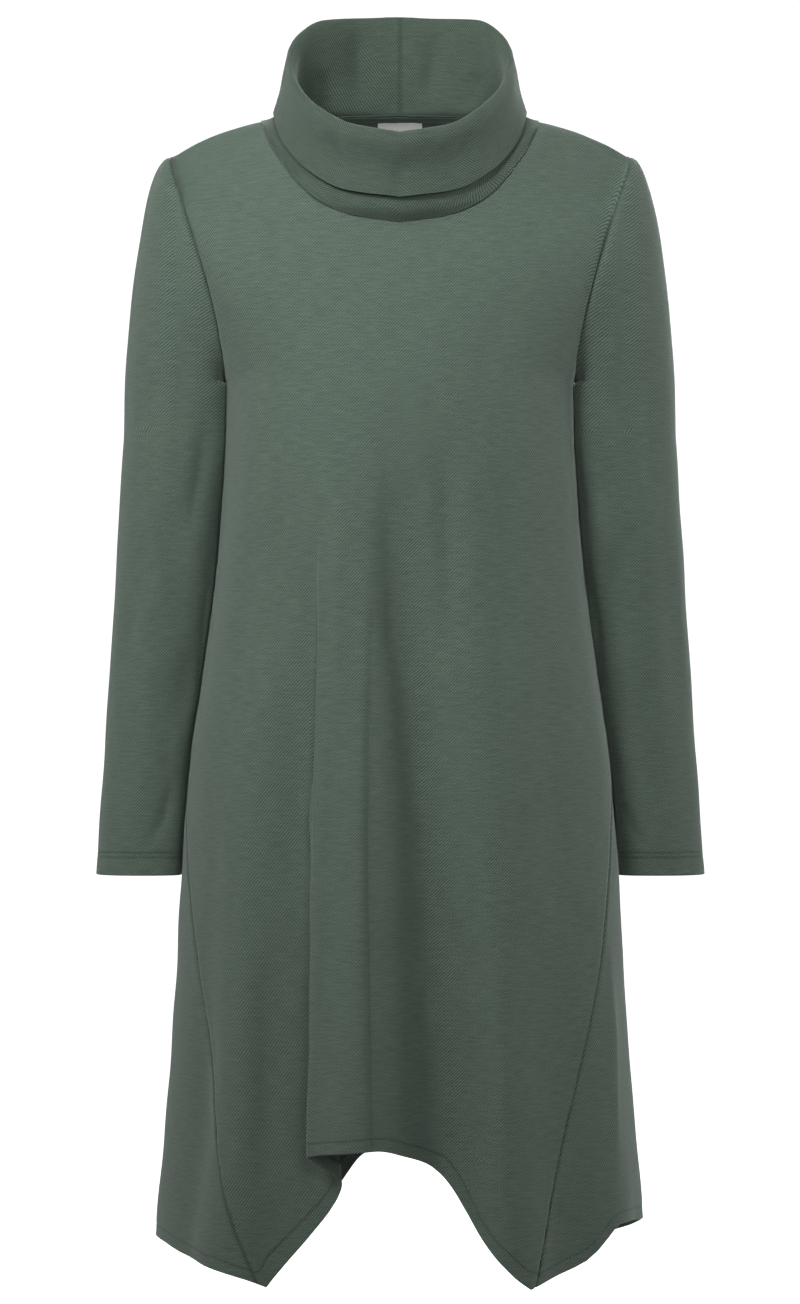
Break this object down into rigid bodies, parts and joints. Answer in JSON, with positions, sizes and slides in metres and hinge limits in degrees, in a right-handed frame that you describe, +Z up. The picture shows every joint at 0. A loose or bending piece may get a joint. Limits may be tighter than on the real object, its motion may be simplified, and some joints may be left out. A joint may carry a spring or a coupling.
{
  "type": "turtleneck dress, filled out with no wearer",
  "caption": "Long-sleeved knee-length dress in sage-green heavy jersey with a deep turned-down cowl turtleneck, side gores and a four-pointed hem.",
  "frame": {"origin": "middle of the neck opening at the height of the side neck points, where the wearer's shoulders and neck hold the dress up", "axes": "+Z up, -Y out of the dress's front, +X to the wearer's left"},
  "size_m": [0.5074, 0.3352, 1.0499],
  "materials": {
    "jersey": "matt fine diagonal twill face with a faint sheen",
    "tape": "matt",
    "label": "satin weave, blank"
  },
  "bodies": {
    "root": {"front": "jersey", "back": "jersey", "gore_left": "jersey", "gore_right": "jersey", "sleeve_left": "jersey", "sleeve_right": "jersey", "collar": "jersey", "neck_tape": "tape", "label": "label"}
  },
  "joints": []
}
